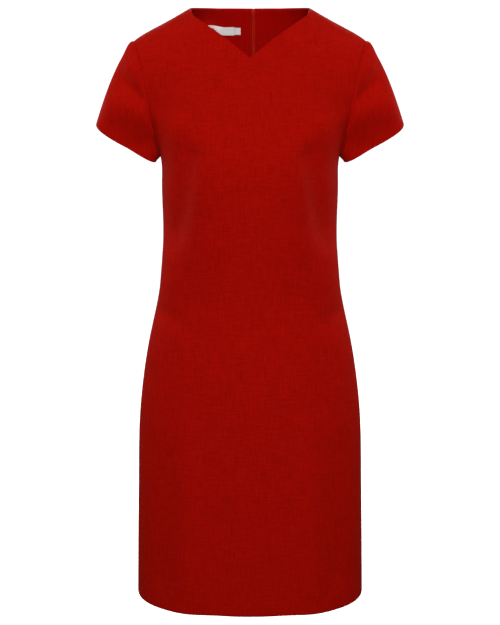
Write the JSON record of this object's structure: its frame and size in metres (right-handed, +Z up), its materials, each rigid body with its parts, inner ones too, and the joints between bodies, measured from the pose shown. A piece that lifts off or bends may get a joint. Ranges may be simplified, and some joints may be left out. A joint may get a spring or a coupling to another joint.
{
  "type": "fitted dress",
  "caption": "Hollow fitted knee-length dress with a V neck, short set-in sleeves, open hem and a concealed back zip with a moving pull tab.",
  "frame": {"origin": "midway between the middles of the two shoulder seams, where a wearer's shoulders hold the dress up", "axes": "+Z up the dress, the front faces -Y, +X to the right as seen from the front"},
  "size_m": [0.499, 0.2495, 0.994],
  "materials": {
    "outer_cloth": "matt plain-weave suiting",
    "facing_cloth": "matt fused facing",
    "zip_tape": "woven tape",
    "zip_coil": "dyed nylon coil",
    "zip_metal": "dyed-to-match enamel",
    "label_ribbon": "woven satin ribbon"
  },
  "bodies": {
    "root": {"front": "outer_cloth", "back_left": "outer_cloth", "back_right": "outer_cloth", "sleeve_left": "outer_cloth", "sleeve_right": "outer_cloth", "back_facing_left": "facing_cloth", "back_facing_right": "facing_cloth", "zip_tape_left": "zip_tape", "zip_tape_right": "zip_tape", "zip_coil": "zip_coil", "zip_slider": "zip_metal", "neck_label": "label_ribbon", "size_tab": "label_ribbon"},
    "pull": {"zip_pull": "zip_metal"}
  },
  "joints": [
    {"name": "pull_swing", "type": "hinge", "parent": "root", "child": "pull", "pos_m": [0.00557, 0.06314, 0.01855], "axis": [1, 0, 0], "range_deg": [0, 130]}
  ]
}
